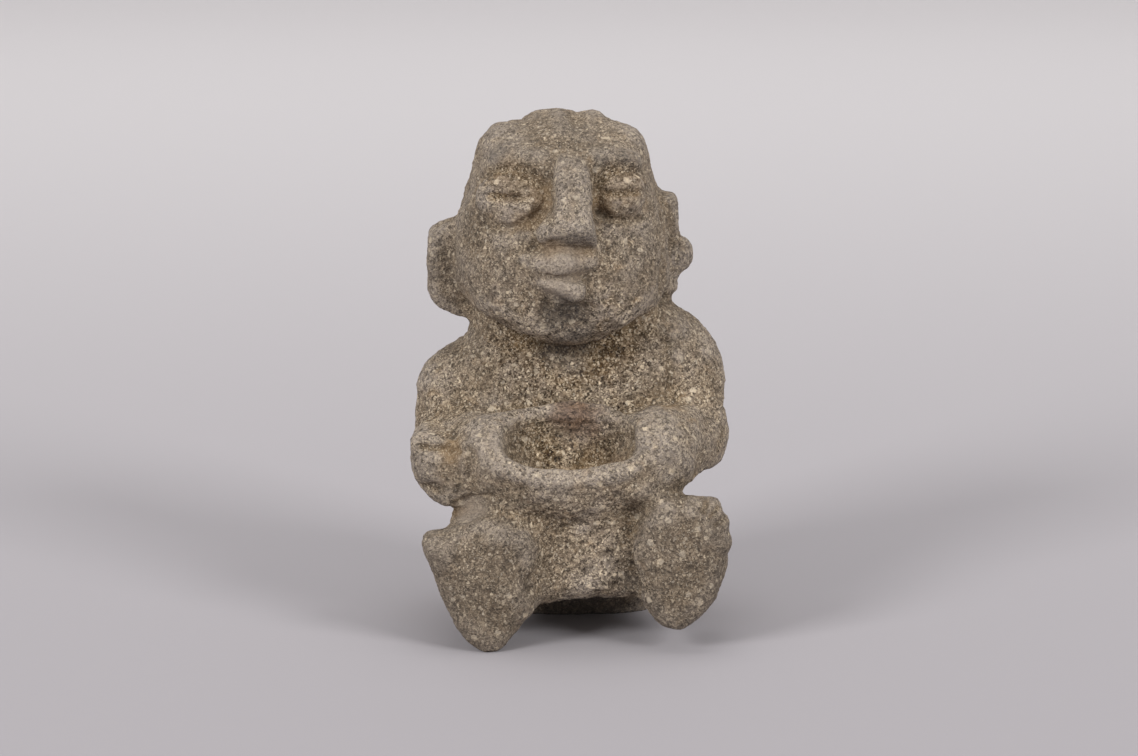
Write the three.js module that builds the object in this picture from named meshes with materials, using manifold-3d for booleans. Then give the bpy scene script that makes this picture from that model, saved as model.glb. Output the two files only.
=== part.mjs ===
// A seated stone figure holding a bowl, carved from one block of volcanic stone.
// Millimetres. X runs to the viewer's right, the figure faces -Y, +Z is up, and the
// origin is on the resting plane under the middle of the figure's box.
//
// The stone is described as a field: a function of a point that is negative inside the
// stone and close to the distance from its surface. Each carved form is a small field,
// forms are blended with a rounded joint as a chisel and wear leave them, and the surface
// where the field is zero is meshed once and thinned out where it is nearly flat.
import * as THREE from "three";
import { SimplifyModifier } from "three/addons/modifiers/SimplifyModifier.js";
import { mergeVertices } from "three/addons/utils/BufferGeometryUtils.js";
import Module from "manifold-3d";

const wasm = await Module();
wasm.setup();

const { clamp, lerp, degToRad } = THREE.MathUtils;

// The middle of the face, and how far the block runs on below the resting plane before
// it is cut off flat there.
const MID_X = -2;
const BELOW_REST = 3;

// The forms are placed from the middle of the face and the front of the seat. This moves
// them so that the origin lies under the middle of the finished figure's box.
const TO_BOX_MIDDLE = new THREE.Vector3(0.2, 8.85, 0);

// How round the outlines of flat forms run through their corners, where 0 is straight, and
// the steps from one corner to the next.
const OUTLINE_TENSION = 0.3;
const OUTLINE_STEPS = 4;

// Meshing: the room that the stone lies in, the size of a grid cell, how vertices are
// settled onto the surface, and how many are kept.
const ROOM = new THREE.Box3(new THREE.Vector3(-58, -56, -8), new THREE.Vector3(56, 40, 172));
const CELL = 1.6;
const SETTLING = { rounds: 3, reach: 0.05, leastSteepness: 0.2, furthest: 0.8 };
const KEPT_VERTICES = 4850;
const MERGE_DISTANCE = 1e-4;

// Keeps sums that are divided by from reaching nought.
const TINY = 1e-6;

// Rounded joints between forms, by how worn they are.
const SOFT = 8;
const WORN = 5;
const FIRM = 3.5;
const CRISP = 2.5;
const SHARP = 2;
const FINE = 1.2;

// Head, from the chin to the crown: edges of the block at each height.
const HEAD = {
  squareness: 2.9,
  bottom: 96,
  bottomRise: 0.009,
  top: 160,
  topRound: 9,
  stations: [
    { z: 92, left: -27, right: 24, front: -24, back: 20 },
    { z: 104, left: -34.5, right: 29, front: -31.5, back: 24 },
    { z: 117, left: -37.4, right: 30.6, front: -32.5, back: 29 },
    { z: 130, left: -36.2, right: 29.4, front: -31.5, back: 32 },
    { z: 141, left: -33, right: 26.3, front: -29.5, back: 32 },
    { z: 150, left: -30.8, right: 24.2, front: -27.5, back: 30 },
    { z: 159, left: -27.6, right: 21.6, front: -22, back: 26 },
    { z: 166, left: -24, right: 18, front: -14, back: 21 },
  ],
};

// Body behind the arms, from the seat to the neck.
const TORSO = {
  squareness: 2.7,
  top: 104,
  topRound: 6,
  stations: [
    { z: -4, left: -25, right: 26, front: -2, back: 27 },
    { z: 10, left: -30, right: 30, front: -11, back: 31 },
    { z: 28, left: -33, right: 32.5, front: -22, back: 33 },
    { z: 42, left: -34, right: 32.5, front: -24, back: 31 },
    { z: 52, left: -41, right: 40, front: -24, back: 29 },
    { z: 62, left: -48.5, right: 48, front: -22, back: 29 },
    { z: 70, left: -49, right: 47.8, front: -20, back: 30 },
    { z: 78, left: -47.4, right: 47.6, front: -18, back: 31 },
    { z: 85, left: -42.6, right: 46, front: -17, back: 30 },
    { z: 90, left: -35.5, right: 44.4, front: -16, back: 27 },
    { z: 95, left: -33, right: 41, front: -16, back: 24 },
    { z: 100, left: -33, right: 35, front: -16, back: 22 },
    { z: 106, left: -33, right: 30, front: -16, back: 22 },
  ],
};

// Nose, a wedge that widens down to a flat underside.
const NOSE = {
  squareness: 3,
  underside: { y: -42, z: 132.8, slope: 45, round: 1.5 },
  top: 154.5,
  topRound: 6,
  stations: [
    { z: 122, left: -6, right: 7.8, front: -43.5, back: -18 },
    { z: 131, left: -5.8, right: 7.5, front: -42.5, back: -18 },
    { z: 138, left: -6.2, right: 6.6, front: -39.5, back: -18 },
    { z: 148, left: -6.4, right: 5.8, front: -34.6, back: -18 },
    { z: 156, left: -6.2, right: 5.6, front: -29, back: -18 },
  ],
  leftWing: { centre: [-6.8, -33.4, 130], half: [4.6, 6, 4] },
};

// Eyes like coffee beans: the middle of the bean, its half width and half height, and how
// far each is turned to follow the side of the face.
const EYES = [
  { centre: [-19.9, -27.2, 140], half: [10.6, 9.6], turn: -14, towardsNose: 1 },
  { centre: [15.4, -26.8, 141.4], half: [7.8, 8.2], turn: 16, towardsNose: -1 },
];

// The parts of an eye, from the bean's middle. The hollow that the bean lies in is wider on
// the nose's side and above, and the slit crosses the bean a little over its middle.
const EYE_HOLLOW = { towardsNose: 1.8, forward: 3, up: 0.6, wider: 2, depth: 6, taller: 0.9 };
const EYE_BEAN = { back: 2.2, depth: 4.6 };
const EYE_SLIT = { forward: 2.8, up: 1, shorter: 1.6, depth: 1.9, halfHeight: 0.8, round: 0.7 };

// Low knobs along the top of the head, with a notch right of its middle.
const CROWN_KNOBS = [
  { centre: [-9.8, 2, 153.8], half: [7.4, 20, 10.2] },
  { centre: [-3.8, 0, 154.4], half: [7, 20, 10.7] },
  { centre: [6.2, 1, 153.4], half: [7.4, 19, 10.6] },
  { centre: [-22, -8, 153.6], half: [6, 9, 7.2] },
  { centre: [16.6, -8, 153.2], half: [6, 9, 7.4] },
];

// Brow, mouth and chin.
const BROWS = [
  { outer: [-21.5, -21.4, 151.2], inner: [-9, -24.8, 152.4] },
  { outer: [17.6, -21.4, 151.6], inner: [7, -24.8, 152.4] },
];
const BROW_RADIUS = 2.6;
const MUZZLE = { centre: [-1.5, -22, 117], half: [19, 13.6, 12] };
const CHIN = { centre: [-2, -21.6, 104.6], half: [14, 10.6, 9.8] };
const CHIN_HOLLOW = { centre: [-1.6, -38.5, 103.4], half: [9, 6, 6.4] };
const UPPER_LIP = [
  { from: [-4, -36.2, 121.6], to: [-13.6, -32.6, 122], radii: [4, 3] },
  { from: [-4, -36.2, 121.6], to: [5, -34.2, 121.8], radii: [4, 3.2] },
];
const LOWER_LIP = { from: [-8.4, -36, 116.2], to: [1, -37, 113.6], radii: [2, 3.2] };
const MOUTH = { from: [-8.6, -38, 118.4], to: [0.6, -39.6, 117.4], radii: [0.9, 1.2] };

// Right ear: a square top over two round lobes.
const RIGHT_EAR = {
  top: { centre: [27.5, 4, 130.5], half: [6.2, 6, 6.6] },
  lobes: [
    { centre: [32, 4, 117.6], half: [7, 6, 6.8] },
    { centre: [28, 4, 110], half: [6, 6, 8] },
  ],
};

// Arms, from the shoulders to the bowl, and the lap that joins them under it.
const ARMS = [
  { from: [37.4, 0, 83.6], to: [38, -4, 62], radii: [10, 10.4] },
  { from: [37.5, -9, 61], to: [25, -31, 60.5], radii: [12, 14] },
  { from: [28, -34, 58], to: [23.5, -39.4, 52], radii: [7.6, 5.6] },
  { from: [-38.8, 0, 75.4], to: [-39.2, -2, 60], radii: [10, 10] },
  { from: [-39, -10, 60], to: [-26, -30, 59], radii: [10.5, 13] },
];
const LAP = { centre: [-1, -22, 54], half: [33, 22, 15] };
const BELLY = { centre: [4.5, -18, 31], half: [19, 22.5, 17] };

// Legs, from the seat to the soles.
const LEFT_LEG = [
  { from: [-19, 8, 24], to: [-24, -32, 23], radii: [14, 15] },
  { from: [-18, -6, 32], to: [-22, -34, 31], radii: [12, 12.5] },
];
const LEFT_KNEE = { centre: [-28, -26, 38], half: [10, 11, 7] };
const RIGHT_LEG = { from: [21, 8, 24], to: [32, -32, 28], radii: [15, 16] };
const TOE = { half: [4, 6, 4], y: -43 };
const TOE_PLACES = [
  [37.4, 45.4],
  [42.6, 45],
  [45.4, 40.8],
  [45.4, 35.2],
];

// Grooves: between the fingers of the left fist, between chest and right arm, between
// belly and right foot, between fist and bowl, and between each upper arm and the back.
const FINGER_GAPS = [
  { from: [-47.6, -36.4, 63.2], to: [-36.4, -38, 62], radii: [1.2, 1.7] },
  { from: [-49, -34.6, 51], to: [-42.4, -37, 48.6], radii: [1.4, 1.6] },
];
const CHEST_GROOVE = { from: [29, -20, 93], to: [30.5, -24.5, 76], radii: [1.6, 1.8] };
const BODY_GROOVES = [
  { from: [20, -43, 32], to: [20.2, -42.5, 12], radii: [1.2, 2] },
  { from: [-45, 16, 90], to: [-48, 12, 52], radii: [1.6, 2] },
  { from: [43, 16, 90], to: [46, 12, 52], radii: [1.6, 2] },
];
const FIST_GROOVE = { from: [-32, -42.4, 63], to: [-30.6, -44, 47], radii: [1.8, 2.2] };

// Bowl, an oval vessel whose rim slopes down towards the front. Its hollow has squarer
// ends than its rim, and its belly runs softly into the lap.
const BOWL = {
  centre: [-1.5, -38.5, 66],
  tilt: 36,
  rimHalf: [29.5, 17],
  hollowHalf: [21, 10.8],
  hollowDepth: 14,
  hollowSquareness: 2.7,
  wallHeight: 25,
  belly: { centre: [-1.5, -37, 53.5], half: [26, 12.2, 10.5] },
};

// Soles of the feet, as closed outlines in X and Z, seen from the front, and where each
// begins and ends from front to back.
const LEFT_SOLE_DEPTH = [-49, -31];
const RIGHT_SOLE_DEPTH = [-50, -29];
const LEFT_SOLE = [
  [-46.8, 35.8],
  [-44.6, 26],
  [-39.5, 13],
  [-33.5, 3.2],
  [-26.7, -1.6],
  [-20, 2.6],
  [-11.5, 13.5],
  [-10.5, 28],
  [-13, 40],
  [-28, 42.6],
  [-39.4, 37.8],
];
const RIGHT_SOLE = [
  [37, 47],
  [44.5, 46],
  [48.2, 38],
  [48, 27],
  [45.2, 16.7],
  [40.3, 9.6],
  [33.5, 7.2],
  [26.6, 9.8],
  [21.2, 17],
  [19.2, 29],
  [20.6, 43],
  [28, 50],
];

// Left fist, seen from the front.
const LEFT_FIST_DEPTH = [-37, -12];
const LEFT_FIST = [
  [-50.4, 65],
  [-50.6, 56],
  [-48.6, 50],
  [-44.4, 45.4],
  [-38.4, 42.6],
  [-31, 43],
  [-32, 58],
  [-37, 66],
  [-46, 67.5],
];

// Left ear, a slab with its lower corner cut off.
const LEFT_EAR_DEPTH = [-4, 10];
const LEFT_EAR = [
  [-45.4, 124.4],
  [-41, 128.2],
  [-34, 128.8],
  [-32, 114],
  [-33, 98.5],
  [-40, 100],
  [-45.4, 104.5],
  [-46.4, 114],
];

// Field helpers. Each returns a field: (x, y, z) => signed distance.

function smoothMin(a, b, round) {
  const h = Math.max(round - Math.abs(a - b), 0) / round;
  return Math.min(a, b) - (h * h * round) / 4;
}

const smoothMax = (a, b, round) => -smoothMin(-a, -b, round);

// Cubic curve through the values of one key of the stations, at height z.
function alongStations(stations, key) {
  const slope = (i) => {
    const before = stations[Math.max(i - 1, 0)];
    const after = stations[Math.min(i + 1, stations.length - 1)];
    return (after[key] - before[key]) / (after.z - before.z);
  };
  return (z) => {
    const last = stations.length - 2;
    let i = 0;
    while (i < last && z > stations[i + 1].z) i++;
    const [low, high] = [stations[i], stations[i + 1]];
    const step = high.z - low.z;
    const t = clamp((z - low.z) / step, 0, 1);
    const t2 = t * t;
    const t3 = t2 * t;
    return (
      (2 * t3 - 3 * t2 + 1) * low[key] +
      (t3 - 2 * t2 + t) * step * slope(i) +
      (3 * t2 - 2 * t3) * high[key] +
      (t3 - t2) * step * slope(i + 1)
    );
  };
}

// A body whose level sections are superellipses between the stations' edges.
function loft({ stations, squareness }) {
  const [left, right, front, back] = ["left", "right", "front", "back"].map(
    (key) => alongStations(stations, key),
  );
  return (x, y, z) => {
    const [l, r, f, b] = [left(z), right(z), front(z), back(z)];
    const halfX = (r - l) / 2;
    const halfY = (b - f) / 2;
    const u = Math.abs(x - (l + r) / 2) / halfX;
    const v = Math.abs(y - (f + b) / 2) / halfY;
    const s = Math.max((u ** squareness + v ** squareness) ** (1 / squareness), TINY);
    const slopeX = (u / s) ** (squareness - 1) / halfX;
    const slopeY = (v / s) ** (squareness - 1) / halfY;
    return (s - 1) / Math.hypot(slopeX, slopeY);
  };
}

// An ellipsoid with half axes along X, Y and Z, whose level sections are squarer where its
// squareness is over 2.
function egg({ centre: [cx, cy, cz], half: [rx, ry, rz], squareness = 2 }) {
  return (x, y, z) => {
    const [px, py, pz] = [Math.abs(x - cx) / rx, Math.abs(y - cy) / ry, (z - cz) / rz];
    const level = Math.max((px ** squareness + py ** squareness) ** (1 / squareness), TINY);
    const k = Math.max(Math.hypot(level, pz), TINY);
    const slopeX = (level * (px / level) ** (squareness - 1)) / rx;
    const slopeY = (level * (py / level) ** (squareness - 1)) / ry;
    return (k * (k - 1)) / Math.max(Math.hypot(slopeX, slopeY, pz / rz), TINY);
  };
}

// A tapered limb with round ends.
function limb({ from, to, radii }) {
  const [ax, ay, az] = from;
  const [bx, by, bz] = [to[0] - ax, to[1] - ay, to[2] - az];
  const length2 = bx * bx + by * by + bz * bz;
  return (x, y, z) => {
    const [px, py, pz] = [x - ax, y - ay, z - az];
    const t = clamp((px * bx + py * by + pz * bz) / length2, 0, 1);
    const away = Math.hypot(px - t * bx, py - t * by, pz - t * bz);
    return away - lerp(...radii, t);
  };
}

// A rectangular block with rounded edges.
function block({ centre: [cx, cy, cz], half: [hx, hy, hz] }, round) {
  return (x, y, z) => {
    const qx = Math.abs(x - cx) - hx + round;
    const qy = Math.abs(y - cy) - hy + round;
    const qz = Math.abs(z - cz) - hz + round;
    const outside = Math.hypot(Math.max(qx, 0), Math.max(qy, 0), Math.max(qz, 0));
    return outside + Math.min(Math.max(qx, qy, qz), 0) - round;
  };
}

// A closed smooth outline in X and Z, carried from frontY to backY, with rounded edges.
function plate(corners, [frontY, backY], round) {
  const curve = new THREE.CatmullRomCurve3(
    corners.map(([x, z]) => new THREE.Vector3(x, 0, z)),
    true,
    "catmullrom",
    OUTLINE_TENSION,
  );
  const points = curve.getPoints(corners.length * OUTLINE_STEPS).slice(0, -1);
  return (x, y, z) => {
    let nearest = Infinity;
    let inside = false;
    for (let i = 0, j = points.length - 1; i < points.length; j = i++) {
      const [a, b] = [points[i], points[j]];
      const [ex, ez] = [b.x - a.x, b.z - a.z];
      const [wx, wz] = [x - a.x, z - a.z];
      const t = clamp((wx * ex + wz * ez) / (ex * ex + ez * ez), 0, 1);
      nearest = Math.min(nearest, (wx - t * ex) ** 2 + (wz - t * ez) ** 2);
      if (a.z > z !== b.z > z && x < (ex * (z - a.z)) / ez + a.x) inside = !inside;
    }
    const edge = (inside ? -1 : 1) * Math.sqrt(nearest);
    return smoothMax(edge, Math.max(frontY - y, y - backY), round);
  };
}

// The same field turned about one axis through a point.
function turned(field, centre, axis, degrees) {
  const matrix = new THREE.Matrix4()
    .makeTranslation(...centre)
    .multiply(new THREE.Matrix4().makeRotationAxis(axis, degToRad(-degrees)))
    .multiply(new THREE.Matrix4().makeTranslation(...centre.map((c) => -c)));
  const e = matrix.elements;
  return (x, y, z) =>
    field(
      e[0] * x + e[4] * y + e[8] * z + e[12],
      e[1] * x + e[5] * y + e[9] * z + e[13],
      e[2] * x + e[6] * y + e[10] * z + e[14],
    );
}

const AXIS_X = new THREE.Vector3(1, 0, 0);
const AXIS_Z = new THREE.Vector3(0, 0, 1);

// Hand carving and wear leave no surface quite flat: slow swells of a little over
// half a millimetre in three directions.
function wear(x, y, z) {
  const along = Math.sin(0.21 * x + 0.13 * z + 0.6) * Math.sin(0.17 * y - 0.19 * z + 1.1);
  const across = Math.sin(0.33 * z - 0.11 * x + 2.3) * Math.sin(0.29 * x + 0.24 * y + 0.4);
  return 0.45 * along + 0.3 * across;
}

const joined = (round, ...fields) => (x, y, z) =>
  fields.reduce((d, field) => smoothMin(d, field(x, y, z), round), 1e3);

const cutFrom = (field, tool, round) => (x, y, z) =>
  smoothMax(field(x, y, z), -tool(x, y, z), round);

// The carved forms.

function headBlock() {
  const sides = loft(HEAD);
  return (x, y, z) => {
    const under = HEAD.bottom + HEAD.bottomRise * (x - MID_X) ** 2 - z;
    return smoothMax(
      smoothMax(sides(x, y, z), z - HEAD.top, HEAD.topRound),
      under,
      SOFT,
    );
  };
}

function crown() {
  return joined(WORN, ...CROWN_KNOBS.map(egg));
}

// An eye: a round swelling in a hollow, split by a level slit.
function eye({ centre, half, turn, towardsNose }) {
  const [x, y, z] = centre;
  const [halfX, halfZ] = half;
  const follow = (field) => turned(field, centre, AXIS_Z, turn);
  const hollow = {
    centre: [x + EYE_HOLLOW.towardsNose * towardsNose, y - EYE_HOLLOW.forward, z + EYE_HOLLOW.up],
    half: [halfX + EYE_HOLLOW.wider, EYE_HOLLOW.depth, halfZ + EYE_HOLLOW.taller],
  };
  const bean = { centre: [x, y + EYE_BEAN.back, z], half: [halfX, EYE_BEAN.depth, halfZ] };
  const slit = {
    centre: [x, y - EYE_SLIT.forward, z + EYE_SLIT.up],
    half: [halfX - EYE_SLIT.shorter, EYE_SLIT.depth, EYE_SLIT.halfHeight],
  };
  return {
    hollow: follow(egg(hollow)),
    bean: follow(egg(bean)),
    slit: follow(block(slit, EYE_SLIT.round)),
  };
}

function nose() {
  const wedge = joined(WORN, loft(NOSE), egg(NOSE.leftWing));
  const { y: tipY, z: tipZ, slope, round } = NOSE.underside;
  const [forward, down] = [Math.sin(degToRad(slope)), Math.cos(degToRad(slope))];
  return (x, y, z) => {
    const under = -(y - tipY) * forward - (z - tipZ) * down;
    return smoothMax(
      smoothMax(wedge(x, y, z), under, round),
      z - NOSE.top,
      NOSE.topRound,
    );
  };
}

function head() {
  let stone = joined(FIRM, headBlock(), crown());
  stone = joined(SOFT, stone, egg(MUZZLE), egg(CHIN));
  const brows = BROWS.map(({ outer, inner }) =>
    limb({ from: outer, to: inner, radii: [BROW_RADIUS, BROW_RADIUS] }),
  );
  stone = joined(WORN, stone, ...brows);
  for (const { hollow, bean, slit } of EYES.map(eye)) {
    stone = cutFrom(joined(FINE, cutFrom(stone, hollow, CRISP), bean), slit, FINE);
  }
  stone = joined(SHARP, stone, nose());
  stone = cutFrom(stone, egg(CHIN_HOLLOW), WORN);
  stone = joined(FINE, stone, joined(FINE, ...UPPER_LIP.map(limb)));
  stone = joined(FINE, stone, limb(LOWER_LIP));
  return cutFrom(stone, limb(MOUTH), FINE);
}

function ears() {
  const left = plate(LEFT_EAR, LEFT_EAR_DEPTH, FIRM);
  const lobes = joined(CRISP, ...RIGHT_EAR.lobes.map(egg));
  return joined(CRISP, left, block(RIGHT_EAR.top, CRISP), lobes);
}

function arms() {
  return joined(WORN, ...ARMS.map(limb), egg(LAP));
}

// The left fist, with two gaps between its fingers.
function leftHand() {
  const fist = plate(LEFT_FIST, LEFT_FIST_DEPTH, SOFT);
  return cutFrom(fist, joined(FINE, ...FINGER_GAPS.map(limb)), SHARP);
}

// The bowl stands tilted, so its field is worked out level and then turned.
function bowl() {
  const { centre, tilt, rimHalf, hollowHalf, hollowDepth, wallHeight } = BOWL;
  const [cx, cy, cz] = centre;
  const body = egg({ centre, half: [...rimHalf, wallHeight] });
  const rim = (x, y, z) => z - cz;
  const outer = (x, y, z) => smoothMax(body(x, y, z), rim(x, y, z), CRISP);
  const hollow = egg({
    centre: [cx, cy, cz + 2],
    half: [...hollowHalf, hollowDepth + 2],
    squareness: BOWL.hollowSquareness,
  });
  return {
    outer: turned(outer, centre, AXIS_X, tilt),
    belly: egg(BOWL.belly),
    hollow: turned(hollow, centre, AXIS_X, tilt),
  };
}

function leftLeg() {
  const sole = plate(LEFT_SOLE, LEFT_SOLE_DEPTH, SOFT);
  return joined(WORN, sole, ...LEFT_LEG.map(limb), egg(LEFT_KNEE));
}

function rightLeg() {
  const sole = plate(RIGHT_SOLE, RIGHT_SOLE_DEPTH, SOFT);
  const toes = TOE_PLACES.map(([x, z]) => egg({ centre: [x, TOE.y, z], half: TOE.half }));
  return joined(SHARP, joined(WORN, sole, limb(RIGHT_LEG)), joined(FINE, ...toes));
}

function stoneField() {
  const { outer, belly, hollow } = bowl();
  const body = joined(SOFT, loft(TORSO), block(BELLY, SOFT));
  const torso = (x, y, z) => smoothMax(body(x, y, z), z - TORSO.top, TORSO.topRound);
  let stone = joined(WORN, torso, arms());
  stone = cutFrom(stone, limb(CHEST_GROOVE), CRISP);
  stone = joined(FIRM, stone, joined(FIRM, head(), ears()));
  stone = joined(SOFT, stone, leftLeg());
  stone = joined(FIRM, stone, rightLeg());
  stone = cutFrom(stone, joined(FINE, ...BODY_GROOVES.map(limb)), CRISP);
  stone = joined(SOFT, stone, belly);
  stone = joined(CRISP, stone, outer, leftHand());
  stone = cutFrom(stone, limb(FIST_GROOVE), CRISP);
  const carved = cutFrom(stone, hollow, CRISP);
  return (x, y, z) => Math.max(carved(x, y, z) + wear(x, y, z), -BELOW_REST - z);
}

// The surface where a field is zero inside a box, with one vertex in each grid cell that
// it crosses and one four-sided face round each grid edge that it crosses.
class FieldGeometry extends THREE.BufferGeometry {
  constructor(field, box, cell) {
    super();
    const [xs, ys, zs] = ["x", "y", "z"].map((axis) => {
      const count = Math.ceil((box.max[axis] - box.min[axis]) / cell) + 1;
      return Array.from({ length: count }, (_, i) => box.min[axis] + i * cell);
    });
    const [nx, ny, nz] = [xs.length, ys.length, zs.length];
    const at = (i, j, k) => (k * ny + j) * nx + i;
    const values = new Float64Array(nx * ny * nz);
    for (let k = 0; k < nz; k++)
      for (let j = 0; j < ny; j++)
        for (let i = 0; i < nx; i++) values[at(i, j, k)] = field(xs[i], ys[j], zs[k]);

    const positions = [];
    const vertexOf = new Map();
    for (let k = 0; k < nz - 1; k++)
      for (let j = 0; j < ny - 1; j++)
        for (let i = 0; i < nx - 1; i++) {
          const point = FieldGeometry.cellPoint(values, at, xs, ys, zs, i, j, k);
          if (!point) continue;
          FieldGeometry.settle(field, point);
          vertexOf.set(at(i, j, k), positions.length / 3);
          positions.push(...point);
        }

    const index = [];
    const face = (cells, flipped) => {
      const [a, b, c, d] = cells.map((cell) => vertexOf.get(cell));
      const across = (p, q) =>
        Math.hypot(...[0, 1, 2].map((n) => positions[3 * p + n] - positions[3 * q + n]));
      const ring = flipped ? [a, d, c, b] : [a, b, c, d];
      const [p, q, r, s] = across(ring[0], ring[2]) < across(ring[1], ring[3])
        ? ring
        : [ring[1], ring[2], ring[3], ring[0]];
      index.push(p, q, r, p, r, s);
    };
    for (let k = 1; k < nz - 1; k++)
      for (let j = 1; j < ny - 1; j++)
        for (let i = 1; i < nx - 1; i++) {
          const here = values[at(i, j, k)] < 0;
          if (here !== values[at(i + 1, j, k)] < 0)
            face([at(i, j - 1, k - 1), at(i, j, k - 1), at(i, j, k), at(i, j - 1, k)], !here);
          if (here !== values[at(i, j + 1, k)] < 0)
            face([at(i - 1, j, k - 1), at(i - 1, j, k), at(i, j, k), at(i, j, k - 1)], !here);
          if (here !== values[at(i, j, k + 1)] < 0)
            face([at(i - 1, j - 1, k), at(i, j - 1, k), at(i, j, k), at(i - 1, j, k)], !here);
        }
    this.setAttribute("position", new THREE.Float32BufferAttribute(positions, 3));
    this.setIndex(index);
  }

  // The mean of the places where the surface crosses a cell's edges, or null.
  static cellPoint(values, at, xs, ys, zs, i, j, k) {
    const sum = [0, 0, 0];
    let crossings = 0;
    for (const axis of [0, 1, 2])
      for (const [p, q] of [[0, 0], [0, 1], [1, 0], [1, 1]]) {
        const start = [i, j, k];
        start[(axis + 1) % 3] += p;
        start[(axis + 2) % 3] += q;
        const end = [...start];
        end[axis]++;
        const [a, b] = [values[at(...start)], values[at(...end)]];
        if (a < 0 === b < 0) continue;
        const t = a / (a - b);
        sum[0] += lerp(xs[start[0]], xs[end[0]], t);
        sum[1] += lerp(ys[start[1]], ys[end[1]], t);
        sum[2] += lerp(zs[start[2]], zs[end[2]], t);
        crossings++;
      }
    return crossings ? sum.map((total) => total / crossings) : null;
  }

  // Moves a point a little way along the field's slope, onto the surface.
  static settle(field, point) {
    const { rounds, reach, leastSteepness, furthest } = SETTLING;
    for (let round = 0; round < rounds; round++) {
      const value = field(...point);
      const slope = [0, 1, 2].map((n) => {
        const moved = [...point];
        moved[n] += reach;
        return (field(...moved) - value) / reach;
      });
      const steepness = slope[0] ** 2 + slope[1] ** 2 + slope[2] ** 2;
      const share = value / Math.max(steepness, leastSteepness);
      for (const n of [0, 1, 2]) point[n] -= clamp(share * slope[n], -furthest, furthest);
    }
  }
}

function toSolid(geometry) {
  const bare = new THREE.BufferGeometry();
  bare.setAttribute("position", geometry.getAttribute("position"));
  bare.setIndex(geometry.index);
  const merged = mergeVertices(bare, MERGE_DISTANCE);
  return new wasm.Manifold(
    new wasm.Mesh({
      numProp: 3,
      vertProperties: merged.attributes.position.array,
      triVerts: new Uint32Array(merged.index.array),
    }),
  );
}

function toGeometry(solid) {
  const { vertProperties, triVerts } = solid.getMesh();
  const geometry = new THREE.BufferGeometry();
  geometry.setAttribute("position", new THREE.BufferAttribute(vertProperties, 3));
  geometry.setIndex(new THREE.BufferAttribute(triVerts, 1));
  geometry.computeVertexNormals();
  return geometry;
}

// The figure: the carved surface, thinned out, and cut off flat on the resting plane.
async function figureGeometry() {
  const fine = new FieldGeometry(stoneField(), ROOM, CELL);
  const surplus = fine.getAttribute("position").count - KEPT_VERTICES;
  const thinned = await new SimplifyModifier().modify(fine, surplus);
  const size = ROOM.getSize(new THREE.Vector3());
  const aboveRest = new THREE.BoxGeometry(2 * size.x, 2 * size.y, size.z).translate(0, 0, size.z / 2);
  return toGeometry(toSolid(thinned).intersect(toSolid(aboveRest)));
}

const stone = new THREE.MeshStandardMaterial({
  name: "stone",
  color: 0x7b746a,
  roughness: 0.9,
  metalness: 0,
});

const figure = new THREE.Mesh(await figureGeometry(), stone);
figure.name = "stone_figure";
figure.position.copy(TO_BOX_MIDDLE);

const group = new THREE.Group();
group.add(figure);

export default group;
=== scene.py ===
"""A seated stone figure holding a bowl: the dressed model, on a pale sweep in soft light.

Metres, in the frame of the solid. The solid's surface is laid out again as a fine even mesh, its
finest carving is cut into it, and it is pecked, pitted and worn. Masks that are kept on the mesh
say where the stone is hollow, worn, rubbed, coarse or stained, and the stone material colours it
by them, with painted shade in hollows, creases and pits and under the nose, chin and seat, and
painted light on the lips.
"""

import math

import bpy
import numpy as np
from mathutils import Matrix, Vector, kdtree, noise


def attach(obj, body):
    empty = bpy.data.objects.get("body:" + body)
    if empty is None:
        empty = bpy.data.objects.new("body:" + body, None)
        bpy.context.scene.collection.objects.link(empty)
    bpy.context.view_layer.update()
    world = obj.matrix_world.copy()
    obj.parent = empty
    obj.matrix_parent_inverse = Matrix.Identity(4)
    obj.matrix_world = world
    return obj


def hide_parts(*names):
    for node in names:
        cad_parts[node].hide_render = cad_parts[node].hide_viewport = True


MM = 0.001

# Fine mesh of the stone. Vertices lower than REST_HEIGHT stay on the resting plane.
STONE_CELL = 0.885 * MM
EVENING_ROUNDS = 3
REST_HEIGHT = 0.5 * MM

# How much the carved edges and creases are sharpened, and the most that they move.
SHARPENING = 0.9
SHARPEN_ROUNDS = 22
SHARPEN_MOST = 0.7 * MM

# Relief of the pecked and weathered surface: the size and height of its swells, which lie
# flatter than they are wide, and how much smoother it is where it is worn.
PECK_SIZES = ((6.0 * MM, 0.35 * MM), (2.6 * MM, 0.4 * MM), (1.4 * MM, 0.3 * MM))
PECK_LIE = (1, 1, 1.7)
WORN_SMOOTHNESS = 0.55
PIT_COUNT = 1100
PIT_RADIUS = (0.8 * MM, 1.9 * MM)
PIT_DEPTH = 0.55 * MM
SEED = 7

# Hollows and crevices show where the surface lies under its own mean over near and over
# wide surroundings, each in rounds of smoothing.
NEAR_ROUNDS = 14
WIDE_ROUNDS = 110

# Across a stroke, in its half widths: where the full depth ends and where the cut fades
# out, the same for the dirt and painted shade in and beside it, and how strong they are.
STROKE_CUT = (0.2, 1.5)
STROKE_DIRT_AND_SHADE = (0.3, 2.8)
DIRT_AND_SHADE_IN_STROKES = 0.7

# How ragged the outlines of stains are, and the size of the swells that make them so.
RAGGED = 0.35
RAGGED_SIZE = 4.0 * MM

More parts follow.
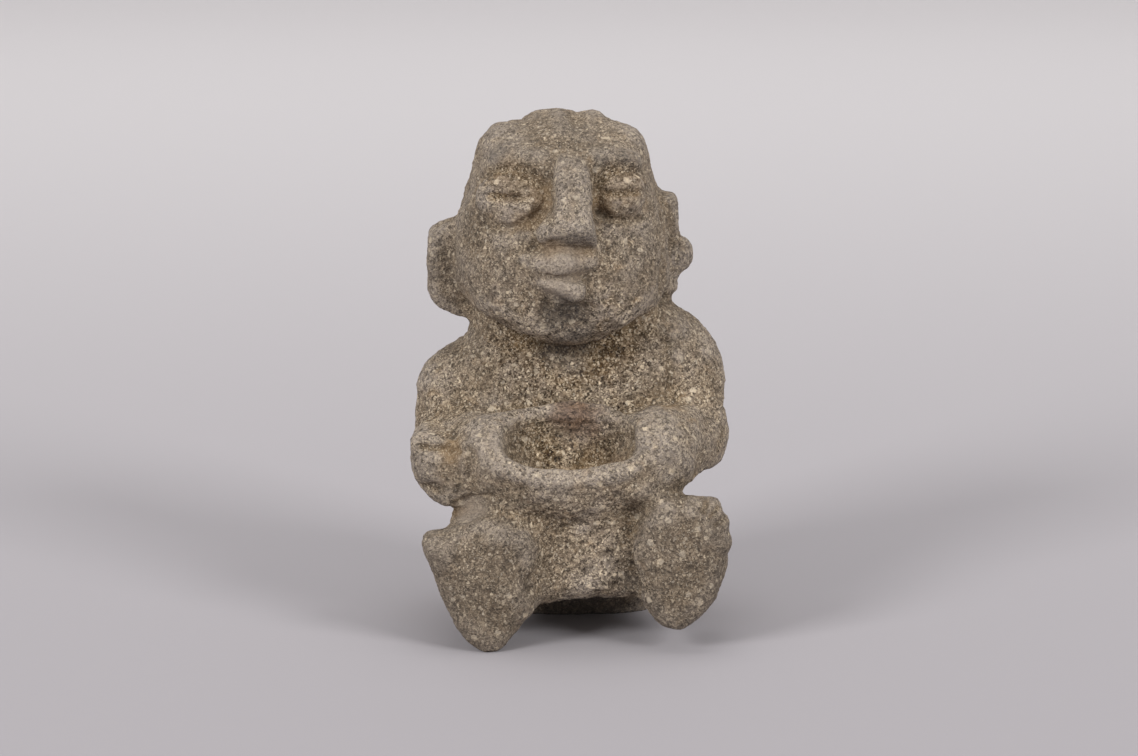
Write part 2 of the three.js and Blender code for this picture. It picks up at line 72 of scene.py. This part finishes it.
# Fine carving, drawn on the front of the figure as a carver would: the stroke's points
# across (X) and up (Z), its half width and its depth, in millimetres.
STROKES = {
    "left_eye_slit": ([(-24.6, 141.4), (-19.6, 141.4), (-14.6, 140.6)], 1.1, 0.3),
    "right_eye_slit": ([(10.4, 142.5), (15.6, 142.5), (20.4, 142.0)], 1.2, 0.3),
    "left_lower_lid": ([(-28.0, 131.3), (-18.4, 131.8), (-12.8, 134.6), (-10.0, 137.0)], 1.2, 0.5),
    "right_lower_lid": ([(8.6, 136.6), (11.8, 134.4), (16.9, 133.5), (20.9, 133.8)], 1.2, 0.7),
    "left_upper_lid": ([(-27.3, 144.9), (-24.4, 148.6), (-16.4, 150.1), (-9.4, 144.9)], 1.3, 0.4),
    "right_upper_lid": ([(8.3, 145.0), (11.0, 149.0), (17.0, 150.4), (22.7, 148.0)], 1.3, 0.4),
    "mouth": ([(-9.4, 118.2), (-4.0, 117.6), (1.2, 117.2)], 0.9, 0.4),
    "left_ear_crease": ([(-38.2, 127.0), (-38.0, 116.0), (-37.2, 105.0)], 1.4, 1.0),
    "right_ear_crease": ([(28.2, 138.0), (29.4, 124.0), (28.4, 108.0)], 1.3, 0.7),
    "right_arm_groove": ([(29.8, 93.0), (31.0, 84.0), (31.4, 75.0)], 1.1, 0.4),
    "upper_finger_gap": ([(-46.8, 63.4), (-41.0, 62.9), (-35.0, 62.2)], 0.9, 0.7),
    "lower_finger_gap": ([(-48.4, 50.8), (-43.0, 48.8)], 0.9, 0.6),
    "first_toe_gap": ([(42.6, 50.4), (41.0, 46.0)], 1.0, 0.8),
    "second_toe_gap": ([(46.2, 47.6), (43.0, 44.4)], 1.0, 0.8),
    "third_toe_gap": ([(48.2, 43.6), (44.8, 41.8)], 1.0, 0.8),
    "beside_bowl": ([(-31.8, 63.0), (-32.0, 56.0), (-30.2, 49.6)], 1.5, 0.4),
    "over_knee": ([(-36.5, 45.4), (-29.7, 48.2), (-24.0, 49.2), (-19.0, 48.4)], 1.1, 0.6),
}

# Stains, as soft balls: place in millimetres, radius, strength.
OCHRE_STAINS = (
    ((-9.0, -20.0, 141.0), 6.0, 0.55),
    ((-13.0, -20.0, 135.0), 7.0, 0.5),
    ((10.0, -20.0, 139.0), 5.0, 0.45),
    ((-5.0, -26.0, 126.0), 6.0, 0.5),
    ((3.0, -26.0, 125.6), 5.0, 0.45),
    ((-37.5, -28.0, 62.5), 5.5, 0.6),
    ((-33.0, -20.0, 42.0), 7.0, 0.8),
    ((36.0, -18.0, 46.0), 8.0, 0.7),
    ((31.0, -14.0, 84.0), 5.0, 0.9),
    ((31.0, -16.0, 76.0), 6.0, 0.8),
    ((5.0, -28.0, 57.0), 12.0, 0.5),
    ((-34.0, -6.0, 104.0), 9.0, 0.4),
    ((0.0, -10.0, 88.0), 34.0, 0.12),
    ((-19.0, -19.0, 147.0), 9.0, 0.25),
    ((16.0, -18.0, 143.0), 9.0, 0.25),
)
RED_STAINS = (
    ((0.5, -20.0, 73.0), 9.0, 1.0),
    ((4.5, -19.0, 69.0), 8.0, 0.8),
    ((12.0, -26.0, 60.0), 7.0, 0.3),
)
# Dark stains and soot on the stone, and painted shade where it is marked below.
DARK_STAINS_AND_SHADE = (
    ((-2.3, -26.0, 104.4), 10.5, 1.0),
    # Painted shade under the chin and on the neck.
    ((0.0, -24.0, 99.0), 9.0, 0.8),
    ((-1.7, -6.0, 91.4), 10.0, 0.7),
    # Painted shade under the nose.
    ((2.0, -30.0, 129.5), 7.0, 0.45),
    ((7.6, -16.0, 152.0), 4.0, 0.8),
    ((17.0, -14.0, 152.4), 4.5, 0.55),
    ((-22.8, -13.0, 152.8), 4.0, 0.5),
    ((-7.0, -17.0, 151.0), 3.5, 0.5),
    # Painted shade in the right eye's slit.
    ((15.6, -19.0, 142.2), 4.0, 0.25),
    ((-20.0, -28.0, 47.0), 4.0, 0.6),
    # Painted shade in the groove between the belly and the right foot.
    ((19.0, -32.0, 20.0), 5.0, 0.6),
    # Painted shade under the seat, between the feet.
    ((2.0, 2.0, 0.0), 22.0, 0.9),
)
# Brown earth about the eyes, the ears and the chest, a plain darkening over the forehead, and
# painted shade over the soles of the feet.
EARTH_AND_SHADE_STAINS = (
    ((-3.0, -14.0, 162.0), 24.0, 0.6),
    ((-20.0, -14.0, 156.0), 9.0, 0.5),
    ((-18.0, -18.0, 149.0), 10.0, 0.9),
    ((14.0, -18.0, 148.0), 10.0, 0.8),
    ((16.0, -18.0, 141.0), 8.0, 0.6),
    ((-32.0, -12.0, 128.0), 12.0, 0.7),
    ((-38.0, 0.0, 114.0), 14.0, 0.5),
    ((-28.0, -40.0, 18.0), 30.0, 1.0),
    ((34.0, -40.0, 27.0), 28.0, 1.0),
    ((-26.0, -20.0, 120.0), 14.0, 0.2),
    ((24.0, -20.0, 120.0), 14.0, 0.2),
    ((0.0, -10.0, 88.0), 34.0, 0.55),
)

# Places that hands and weather have rubbed pale, and painted light on the lips under the nose.
RUBBED_AND_LIT_AREAS = (
    ((-3.0, -27.5, 121.8), 9.0, 0.8),
    ((-3.5, -28.5, 115.0), 7.0, 1.0),
    ((-29.3, -26.0, 42.5), 9.0, 1.0),
    ((-26.0, -33.0, 62.0), 9.0, 0.35),
    ((-1.0, -44.0, 57.5), 12.0, 0.4),
    ((2.0, -18.0, 70.0), 12.0, 0.4),
    ((4.0, -34.0, 28.0), 22.0, 0.15),
    ((-19.0, -20.0, 136.0), 6.0, 0.5),
)

# Where the stone is left as it was pecked, so that its grains stand out more.
COARSE_AREAS = (
    ((0.0, -12.0, 89.0), 34.0, 1.0),
    ((0.0, -20.0, 66.0), 19.0, 1.0),
    ((-0.5, -34.0, 50.0), 26.0, 0.4),
    ((5.0, -34.0, 28.0), 24.0, 0.65),
    ((0.0, -24.0, 118.0), 38.0, 0.15),
    ((-19.0, -19.0, 144.0), 12.0, 0.7),
    ((15.0, -18.0, 145.0), 12.0, 0.6),
    ((44.0, -8.0, 72.0), 26.0, 0.35),
    ((-44.0, -8.0, 72.0), 26.0, 0.35),
)
COARSE_CONTRAST = 0.9
COARSE_RELIEF = 0.6

# Stone colours, before light falls on them; the dirt, soot, earth and rubbed colours carry painted
# shade and light too. Contrast is counted from the middle colour.
MIDDLE_COLOUR = (0.168, 0.134, 0.102)
MATRIX_COLOUR = (0.195, 0.145, 0.098)
WORN_COLOUR = (0.258, 0.215, 0.178)
FELDSPAR_COLOUR = (0.62, 0.5, 0.35)
PALE_GREY_COLOUR = (0.42, 0.355, 0.275)
DARK_GRAIN_COLOUR = (0.05, 0.036, 0.024)
OCHRE_COLOUR = (0.26, 0.16, 0.07)
DIRT_AND_SHADE_COLOUR = (0.12, 0.08, 0.043)
EARTH_AND_SHADE_TINT = (0.79, 0.79, 0.8)
RED_TINT = (0.58, 0.48, 0.44)
SOOT_AND_SHADE_COLOUR = (0.05, 0.044, 0.041)
RUBBED_AND_LIT_COLOUR = (0.38, 0.31, 0.245)

# The paper sweep is painted with shade: deeper in colour near the front and paler behind, and the
# painted shade fades between these two places from front to back.
SWEEP_SHADED_NEAR = (0.334, 0.314, 0.33)
SWEEP_FAR = (0.73, 0.705, 0.712)
SWEEP_RISE = (-0.3, 1.8)

# Softboxes: place, size and watts. They point at the middle of the figure.
SOFTBOXES = {
    "left_softbox": ((-2.1, -2.0, 1.6), 1.1, 78),
    "right_softbox": ((2.2, -1.9, 1.6), 1.1, 69),
    "top_softbox": ((0.0, 0.2, 2.8), 1.6, 24),
}
LIT_PLACE = Vector((0, 0, 60)) * MM
ROOM_LIGHT = (1.0, 0.985, 0.99, 1)
ROOM_LIGHT_STRENGTH = 0.42

# The photograph's camera.
CAMERA_LENS = 105
CAMERA_SENSOR = 36
CAMERA_TARGET = Vector((-0.8, -1.15, 80)) * MM
CAMERA_DISTANCE = 1.060
CAMERA_HEIGHT = math.radians(12)


# Mesh arrays


def read(data, name, width, kind=float):
    """One property of a mesh's vertices or edges as rows of an array."""
    flat = np.empty(len(data) * width, dtype=kind)
    data.foreach_get(name, flat)
    return flat.reshape(-1, width)


def normals_of(mesh):
    mesh.update()
    return read(mesh.vertex_normals, "vector", 3)


class Neighbours:
    """The mesh's edges, for means over the neighbours of each vertex."""

    def __init__(self, mesh):
        self.count = len(mesh.vertices)
        self.a, self.b = read(mesh.edges, "vertices", 2, np.int32).T
        ends = np.concatenate((self.a, self.b))
        self.degree = np.bincount(ends, minlength=self.count).clip(min=1)

    def mean(self, values):
        total = np.bincount(self.a, values[self.b], self.count)
        total += np.bincount(self.b, values[self.a], self.count)
        return total / self.degree

    def smooth(self, values, rounds):
        """values after that many rounds of drawing each vertex towards its neighbours."""
        columns = values.reshape(self.count, -1).T.copy()
        for _ in range(rounds):
            columns = [0.4 * column + 0.6 * self.mean(column) for column in columns]
        return np.stack(columns, axis=1).reshape(values.shape)


def step(values, low, high):
    """0 below low, 1 above high, and an even rise between them."""
    share = np.clip((values - low) / (high - low), 0, 1)
    return share * share * (3 - 2 * share)


def noise_at(places, size):
    """Smooth noise between about -1 and 1, with swells of that size."""
    return np.array([noise.noise(Vector(place)) for place in places / size])


# Carving and wear


def fine_copy(node):
    """The solid's surface as a mesh of small even faces."""
    stone = bpy.data.objects.new("carved_stone", node.data.copy())
    bpy.context.scene.collection.objects.link(stone)
    remesh = stone.modifiers.new("even_faces", "REMESH")
    remesh.mode = "VOXEL"
    remesh.voxel_size = STONE_CELL
    depsgraph = bpy.context.evaluated_depsgraph_get()
    stone.data = bpy.data.meshes.new_from_object(stone.evaluated_get(depsgraph))
    stone.modifiers.clear()
    stone.data.name = "carved_stone"
    return stone


def distance_to_line(across, up, points):
    """How far each place is, seen from the front, from a line through the points."""
    nearest = np.full(across.shape, np.inf)
    for (ax, az), (bx, bz) in zip(points, points[1:]):
        length2 = (bx - ax) ** 2 + (bz - az) ** 2
        along = np.clip(((across - ax) * (bx - ax) + (up - az) * (bz - az)) / length2, 0, 1)
        away = np.hypot(across - ax - along * (bx - ax), up - az - along * (bz - az))
        nearest = np.minimum(nearest, away)
    return nearest


def carving(places, normals):
    """How deep the strokes cut at each vertex of the front, and the dirt and painted shade along
    them.
    """
    across, up = places[:, 0] / MM, places[:, 2] / MM
    facing = step(-normals[:, 1], 0.05, 0.4) * (places[:, 1] < 0)
    depth = np.zeros(len(places))
    dirt_and_shade = np.zeros(len(places))
    for points, half_width, deep in STROKES.values():
        away = distance_to_line(across, up, points)
        depth = np.maximum(depth, deep * MM * (1 - step(away / half_width, *STROKE_CUT)))
        dirt_and_shade = np.maximum(dirt_and_shade, 1 - step(away / half_width, *STROKE_DIRT_AND_SHADE))
    return depth * facing, dirt_and_shade * facing


def pecking(places):
    """The uneven surface that a hammer stone and weather leave."""
    level = places * PECK_LIE
    return sum(height * noise_at(level, size) for size, height in PECK_SIZES)


def pits(places):
    """Small pits where grains have fallen out, scattered over the stone."""
    random = np.random.default_rng(SEED)
    tree = kdtree.KDTree(len(places))
    for index, place in enumerate(places):
        tree.insert(place, index)
    tree.balance()
    depth = np.zeros(len(places))
    for centre in random.choice(len(places), PIT_COUNT, replace=False):
        radius = random.uniform(*PIT_RADIUS)
        deep = PIT_DEPTH * random.uniform(0.4, 1.0)
        for _, index, away in tree.find_range(places[centre], radius):
            depth[index] = max(depth[index], deep * (1 - (away / radius) ** 2))
    return depth


def stain_mask(places, stains, ragged):
    """Where soft-edged stains lie, with ragged outlines."""
    mask = np.zeros(len(places))
    for centre, radius, strength in stains:
        away = np.linalg.norm(places / MM - np.array(centre), axis=1) / radius
        mask = np.maximum(mask, strength * (1 - step(away + ragged, 0.35, 1.15)))
    return mask


def keep_mask(mesh, name, values):
    attribute = mesh.attributes.new(name, "FLOAT", "POINT")
    attribute.data.foreach_set("value", values.astype(np.float32))


def weather_stone(mesh):
    """Cuts the strokes, roughens the surface and keeps the masks that the material reads."""
    neighbours = Neighbours(mesh)
    places = read(mesh.vertices, "co", 3)
    resting = places[:, 2] < REST_HEIGHT
    places = np.where(resting[:, None], places, neighbours.smooth(places, EVENING_ROUNDS))
    mesh.vertices.foreach_set("co", places.ravel())
    normals = normals_of(mesh)
    cut, stroke_dirt_and_shade = carving(places, normals)
    places -= normals * np.where(resting, 0, cut)[:, None]
    proud = np.einsum("ij,ij->i", places - neighbours.smooth(places, SHARPEN_ROUNDS), normals)
    moved = np.clip(SHARPENING * proud, -SHARPEN_MOST, SHARPEN_MOST)
    places += normals * np.where(resting, 0, moved)[:, None]

    near = neighbours.smooth(places, NEAR_ROUNDS)
    wide = neighbours.smooth(near, WIDE_ROUNDS)
    crevice = np.einsum("ij,ij->i", near - places, normals) / MM
    hollow = np.einsum("ij,ij->i", wide - places, normals) / MM

    rubbed_and_lit = stain_mask(places, RUBBED_AND_LIT_AREAS, 0)
    worn = np.maximum(step(-hollow, 0.1, 1.6) * step(-crevice, -0.1, 0.2), rubbed_and_lit)
    coarse = stain_mask(places, COARSE_AREAS, 0)
    rough = (1 - WORN_SMOOTHNESS * worn) * (1 + COARSE_RELIEF * coarse)
    rough = np.where(resting, 0, rough)
    height = rough * (pecking(places) - pits(places))
    places += normals * height[:, None]
    places[:, 2] = np.maximum(places[:, 2], 0)
    mesh.vertices.foreach_set("co", places.ravel())
    mesh.update()

    ragged = RAGGED * noise_at(places, RAGGED_SIZE)
    earth_and_shade = stain_mask(places, EARTH_AND_SHADE_STAINS, ragged)
    # Painted shade in the hollows, creases and strokes, together with the dirt that settles there
    # and the earth stains.
    dirt_and_shade = step(hollow, 0.0, 2.6) + step(crevice, 0.03, 0.4) + DIRT_AND_SHADE_IN_STROKES * stroke_dirt_and_shade
    keep_mask(mesh, "dirt_and_shade", np.clip(dirt_and_shade + earth_and_shade - 0.5 * rubbed_and_lit, 0, 1))
    keep_mask(mesh, "earth_and_shade", earth_and_shade)
    keep_mask(mesh, "worn", worn)
    keep_mask(mesh, "rubbed_and_lit", rubbed_and_lit)
    keep_mask(mesh, "coarse", coarse)
    # Low spots of the surface, which take painted shade.
    keep_mask(mesh, "pitted", step(-height / MM, 0.05, 0.5))
    keep_mask(mesh, "ochre", stain_mask(places, OCHRE_STAINS, ragged))
    keep_mask(mesh, "red", stain_mask(places, RED_STAINS, ragged))
    keep_mask(mesh, "soot_and_shade", stain_mask(places, DARK_STAINS_AND_SHADE, ragged))


# Shader nodes


class Nodes:
    """Adds nodes to a material or group and links them as they are named."""

    def __init__(self, tree):
        self.tree = tree

    def add(self, kind, inputs=None, **settings):
        node = self.tree.nodes.new("ShaderNode" + kind)
        for name, value in settings.items():
            setattr(node, name, value)
        for name, value in (inputs or {}).items():
            self.put(node, name, value)
        return node

    def put(self, node, name, value):
        """Links an output to a socket, or sets the socket's own value."""
        if isinstance(value, bpy.types.NodeSocket):
            self.tree.links.new(value, node.inputs[name])
        elif isinstance(value, tuple) and node.inputs[name].type == "RGBA":
            node.inputs[name].default_value = (*value, 1)
        else:
            node.inputs[name].default_value = value

    def mask(self, name):
        return self.add("Attribute", attribute_name=name).outputs["Fac"]

    def maths(self, operation, first, second):
        return self.add("Math", {0: first, 1: second}, operation=operation).outputs[0]

    def ramp(self, value, low, high, to_low=0.0, to_high=1.0):
        inputs = {"Value": value, "From Min": low, "From Max": high}
        inputs |= {"To Min": to_low, "To Max": to_high}
        return self.add("MapRange", inputs, interpolation_type="SMOOTHSTEP").outputs[0]

    def blend(self, share, under, over, way="MIX"):
        """The two colours mixed, or past the second one where the share is over 1."""
        node = self.add("Mix", data_type="RGBA", blend_type=way)
        node.clamp_factor = False
        node.clamp_result = True
        self.put(node, 0, share)
        self.put(node, 6, under)
        self.put(node, 7, over)
        return node.outputs[2]


def grain_group():
    """Mineral grains scattered through the stone: a mask, and a tone of each grain's own.

    Rarity is the share of cells that hold no grain, and Size the reach of the largest grain in
    its cell.
    """
    group = bpy.data.node_groups.new("mineral_grains", "ShaderNodeTree")
    sockets = {"Place": "Vector", "Per Metre": "Float", "Rarity": "Float", "Size": "Float"}
    for name, kind in sockets.items():
        group.interface.new_socket(name, in_out="INPUT", socket_type="NodeSocket" + kind)
    for name in ("Mask", "Tone"):
        group.interface.new_socket(name, in_out="OUTPUT", socket_type="NodeSocketFloat")
    nodes = Nodes(group)
    given = group.nodes.new("NodeGroupInput").outputs
    layout = {"Vector": given["Place"], "Scale": given["Per Metre"], "Randomness": 1.0}
    cells = nodes.add("TexVoronoi", layout)
    tones = nodes.add("SeparateColor", {"Color": cells.outputs["Color"]})
    chance = nodes.ramp(tones.outputs["Red"], given["Rarity"], 1.0)
    reach = nodes.maths("MULTIPLY", chance, given["Size"])
    inside = nodes.maths("SUBTRACT", reach, cells.outputs["Distance"])
    out = group.nodes.new("NodeGroupOutput")
    nodes.put(out, "Mask", nodes.ramp(inside, -0.05, 0.1))
    nodes.put(out, "Tone", tones.outputs["Green"])
    return group


# Kinds of grain: how the cells lie and stretch, cells per metre, rarity and size.
GRAINS = {
    "large": ((0.4, 0.9, 0.3), (1.0, 1.5, 1.0), 330.0, 0.66, 0.4),
    "medium": ((1.1, 0.2, 0.7), (1.5, 1.0, 1.0), 680.0, 0.4, 0.44),
    "small": ((0.7, 1.3, 0.1), (1.0, 1.0, 1.4), 1300.0, 0.3, 0.5),
    "dark": ((0.2, 0.5, 1.2), (1.3, 1.0, 1.0), 600.0, 0.45, 0.42),
    "pepper": ((1.4, 0.8, 0.5), (1.0, 1.2, 1.0), 1300.0, 0.2, 0.5),
}

# The stone's own crystals, each of its own shade: crystals per metre, and how much their
# shades differ.
CRYSTALS = ((1100.0, 0.4), (2100.0, 0.55))

# Uneven tones in the stone: swells per metre, and how many finer ones lie in them.
SWELLS = {
    "cloud": (75.0, 4.0),
    "rust": (190.0, 3.0),
    "mottle": (420.0, 3.0),
    "fine": (1700.0, 2.0),
}

# The grains' outlines are bent by fine swells: how many per metre, and how far in metres.
BEND_PER_METRE = 900.0
BEND = 0.0014

# How strongly each layer of the stone covers what lies under it.
COVER = {
    "worn": 0.8,
    "rust": 0.3,
    "dirt_and_shade": 0.6,
    "mottle": 0.32,
    "pepper": 0.55,
    "small": 0.55,
    "dark": 0.6,
    "medium": 0.6,
    "large": 0.6,
    "pitted": 0.4,
    "rubbed_and_lit": 0.4,
    "ochre": 0.6,
    "soot_and_shade": 0.66,
}

# The finest relief, too small for the mesh: its height in metres and its strength.
GRIT_HEIGHT = 0.0005
GRIT_STRENGTH = 0.8


def stone_material():
    material = bpy.data.materials.new("volcanic_stone")
    material.use_nodes = True
    nodes = Nodes(material.node_tree)
    shader = material.node_tree.nodes["Principled BSDF"]
    place = nodes.add("TexCoord").outputs["Object"]
    swells = {}
    for name, (scale, detail) in SWELLS.items():
        inputs = {"Vector": place, "Scale": scale, "Detail": detail}
        swells[name] = nodes.add("TexNoise", inputs).outputs["Fac"]
    bent = bent_places(nodes, place)
    masks, tones = add_grains(material.node_tree, nodes, bent)
    nodes.put(shader, "Base Color", stone_colour(nodes, bent, swells, masks, tones))

    worn = nodes.mask("worn")
    pale = nodes.maths("MAXIMUM", masks["large"], masks["medium"])
    gritty = nodes.ramp(worn, 0.0, 1.0, 0.92, 0.8)
    smoother = nodes.maths("MULTIPLY", pale, 0.15)
    nodes.put(shader, "Roughness", nodes.maths("SUBTRACT", gritty, smoother))
    raised = nodes.maths("MULTIPLY", nodes.maths("MAXIMUM", pale, masks["small"]), 0.5)
    sunk = nodes.maths("MULTIPLY", nodes.maths("MAXIMUM", masks["dark"], masks["pepper"]), 0.7)
    grit = nodes.maths("ADD", nodes.maths("MULTIPLY", swells["mottle"], 1.5), swells["fine"])
    relief = nodes.maths("ADD", nodes.maths("SUBTRACT", raised, sunk), grit)
    bump = nodes.add("Bump", {"Height": relief, "Distance": GRIT_HEIGHT, "Strength": GRIT_STRENGTH})
    nodes.put(shader, "Normal", bump.outputs[0])
    return material


def bent_places(nodes, place):
    """Places shifted a little, so that grains laid out by them have uneven outlines."""
    swell = nodes.add("TexNoise", {"Vector": place, "Scale": BEND_PER_METRE, "Detail": 2.0})
    middle = {0: swell.outputs["Color"], 1: (0.5, 0.5, 0.5)}
    shift = nodes.add("VectorMath", middle, operation="SUBTRACT").outputs[0]
    small = nodes.add("VectorMath", {0: shift, "Scale": BEND}, operation="SCALE").outputs[0]
    return nodes.add("VectorMath", {0: place, 1: small}, operation="ADD").outputs[0]


def add_grains(tree, nodes, place):
    """The mask and the tones of each kind of grain."""
    group = grain_group()
    masks, tones = {}, {}
    for name, (turn, stretch, per_metre, rarity, size) in GRAINS.items():
        lie = nodes.add("Mapping", {"Vector": place, "Rotation": turn, "Scale": stretch})
        node = tree.nodes.new("ShaderNodeGroup")
        node.node_tree = group
        given = {"Place": lie.outputs[0], "Per Metre": per_metre, "Rarity": rarity, "Size": size}
        for socket, value in given.items():
            nodes.put(node, socket, value)
        masks[name] = node.outputs["Mask"]
        tones[name] = node.outputs["Tone"]
    return masks, tones


def stone_colour(nodes, place, swells, masks, tones):
    """The stone's colour, built up in layers from the ground to the stains, with painted shade and
    light among them.
    """

    def layer(under, over, share, strength):
        return nodes.blend(nodes.maths("MULTIPLY", share, strength), under, over)

    def crystal_tone(per_metre):
        cells = nodes.add("TexVoronoi", {"Vector": place, "Scale": per_metre, "Randomness": 1.0})
        return nodes.add("SeparateColor", {"Color": cells.outputs["Color"]}).outputs["Blue"]

    cloud, rust, mottle = swells["cloud"], swells["rust"], swells["mottle"]
    worn = nodes.mask("worn")
    dirt_and_shade = nodes.maths("MULTIPLY", nodes.mask("dirt_and_shade"), nodes.ramp(cloud, 0.3, 0.65, 0.6, 1.0))
    feldspar = nodes.blend(tones["medium"], PALE_GREY_COLOUR, FELDSPAR_COLOUR)
    speckle = nodes.blend(tones["small"], PALE_GREY_COLOUR, FELDSPAR_COLOUR)
    fresh = nodes.ramp(worn, 0.0, 1.0, 1.0, 0.6)
    fresh_small = nodes.maths("MULTIPLY", masks["small"], fresh)
    fresh_medium = nodes.maths("MULTIPLY", masks["medium"], fresh)

    colour = nodes.blend(nodes.ramp(cloud, 0.4, 0.8), MATRIX_COLOUR, WORN_COLOUR)
    colour = layer(colour, WORN_COLOUR, worn, COVER["worn"])
    colour = layer(colour, OCHRE_COLOUR, nodes.ramp(rust, 0.55, 0.75), COVER["rust"])
    # Painted shade and dirt in the hollows, creases and strokes.
    colour = layer(colour, DIRT_AND_SHADE_COLOUR, dirt_and_shade, COVER["dirt_and_shade"])
    for per_metre, strength in CRYSTALS:
        tone = crystal_tone(per_metre)
        colour = layer(colour, DARK_GRAIN_COLOUR, nodes.ramp(tone, 0.45, 0.0), strength)
        colour = layer(colour, FELDSPAR_COLOUR, nodes.ramp(tone, 0.6, 1.0), 0.5 * strength)
    colour = layer(colour, DARK_GRAIN_COLOUR, nodes.ramp(mottle, 0.5, 0.3), COVER["mottle"])
    colour = layer(colour, DARK_GRAIN_COLOUR, masks["pepper"], COVER["pepper"])
    colour = layer(colour, speckle, fresh_small, COVER["small"])
    colour = layer(colour, DARK_GRAIN_COLOUR, masks["dark"], COVER["dark"])
    colour = layer(colour, feldspar, fresh_medium, COVER["medium"])
    colour = layer(colour, feldspar, masks["large"], COVER["large"])
    # Painted shade in the pits and the low spots of the pecked surface.
    colour = layer(colour, DARK_GRAIN_COLOUR, nodes.mask("pitted"), COVER["pitted"])
    more = nodes.maths("MULTIPLY", nodes.mask("coarse"), COARSE_CONTRAST)
    colour = nodes.blend(nodes.maths("ADD", more, 1.0), MIDDLE_COLOUR, colour)
    # Earth stains, the darkened forehead and painted shade on the soles, by a plain darker tint.
    colour = nodes.blend(nodes.mask("earth_and_shade"), colour, EARTH_AND_SHADE_TINT, "MULTIPLY")
    # Paler where rubbed, with painted light on the lips.
    colour = layer(colour, RUBBED_AND_LIT_COLOUR, nodes.mask("rubbed_and_lit"), COVER["rubbed_and_lit"])
    colour = layer(colour, OCHRE_COLOUR, nodes.mask("ochre"), COVER["ochre"])
    colour = nodes.blend(nodes.mask("red"), colour, RED_TINT, "MULTIPLY")
    # Soot and dark stains, and painted shade under the nose, chin and seat.
    return layer(colour, SOOT_AND_SHADE_COLOUR, nodes.mask("soot_and_shade"), COVER["soot_and_shade"])


def sweep_material():
    material = bpy.data.materials.new("pale_sweep")
    material.use_nodes = True
    nodes = Nodes(material.node_tree)
    shader = material.node_tree.nodes["Principled BSDF"]
    place = nodes.add("TexCoord").outputs["Object"]
    back = nodes.add("SeparateXYZ", {"Vector": place}).outputs["Y"]
    # Painted shade, darker towards the front of the sweep.
    colour = nodes.blend(nodes.ramp(back, *SWEEP_RISE), SWEEP_SHADED_NEAR, SWEEP_FAR)
    nodes.put(shader, "Base Color", colour)
    nodes.put(shader, "Roughness", 0.85)
    return material


# Pieces and setting


def make_stone(frame):
    """The figure's stone, which takes the place of the solid."""
    stone = fine_copy(frame["nodes"]["stone_figure"])
    weather_stone(stone.data)
    stone.data.materials.clear()
    stone.data.materials.append(stone_material())
    stone.data.shade_smooth()
    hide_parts("stone_figure")
    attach(stone, "root")


def make_sweep():
    """A floor that curves up into a backdrop."""
    half_width, front, bend_start, bend = 4.0, -3.5, 2.6, 0.8
    turns = [math.radians(90) * i / 16 for i in range(17)]
    curve = [(bend_start + bend * math.sin(t), bend * (1 - math.cos(t))) for t in turns]
    profile = [(front, 0.0), *curve, (bend_start + bend, 3.5)]
    points = [(x, y, z) for y, z in profile for x in (-half_width, half_width)]
    faces = [(2 * i, 2 * i + 1, 2 * i + 3, 2 * i + 2) for i in range(len(profile) - 1)]
    mesh = bpy.data.meshes.new("sweep")
    mesh.from_pydata(points, [], faces)
    mesh.shade_smooth()
    mesh.materials.append(sweep_material())
    sweep = bpy.data.objects.new("sweep", mesh)
    bpy.context.scene.collection.objects.link(sweep)


def add_softbox(name, place, size, watts):
    light = bpy.data.lights.new(name, "AREA")
    light.shape = "SQUARE"
    light.size = size
    light.energy = watts
    box = bpy.data.objects.new(name, light)
    box.location = place
    aim = LIT_PLACE - box.location
    box.rotation_euler = aim.to_track_quat("-Z", "Y").to_euler()
    bpy.context.scene.collection.objects.link(box)


def add_lights():
    for name, (place, size, watts) in SOFTBOXES.items():
        add_softbox(name, place, size, watts)
    world = bpy.data.worlds.new("room_light")
    world.use_nodes = True
    background = world.node_tree.nodes["Background"]
    background.inputs["Color"].default_value = ROOM_LIGHT
    background.inputs["Strength"].default_value = ROOM_LIGHT_STRENGTH
    bpy.context.scene.world = world


def add_camera():
    lens = bpy.data.cameras.new("photograph_view")
    lens.lens = CAMERA_LENS
    lens.sensor_width = CAMERA_SENSOR
    lens.clip_end = 20
    camera = bpy.data.objects.new("photograph_view", lens)
    looking = Vector((0, math.cos(CAMERA_HEIGHT), -math.sin(CAMERA_HEIGHT)))
    camera.location = CAMERA_TARGET - looking * CAMERA_DISTANCE
    camera.rotation_euler = looking.to_track_quat("-Z", "Y").to_euler()
    bpy.context.scene.collection.objects.link(camera)
    bpy.context.scene.camera = camera


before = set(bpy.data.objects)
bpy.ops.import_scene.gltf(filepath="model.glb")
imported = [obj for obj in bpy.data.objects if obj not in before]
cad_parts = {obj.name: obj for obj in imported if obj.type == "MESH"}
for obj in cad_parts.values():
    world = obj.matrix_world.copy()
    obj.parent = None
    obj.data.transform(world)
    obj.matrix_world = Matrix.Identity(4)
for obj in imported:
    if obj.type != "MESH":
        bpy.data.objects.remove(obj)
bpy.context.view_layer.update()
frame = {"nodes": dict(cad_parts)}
add_camera()
add_lights()
make_sweep()
make_stone(frame)
bpy.context.scene.view_settings.view_transform = "Standard"
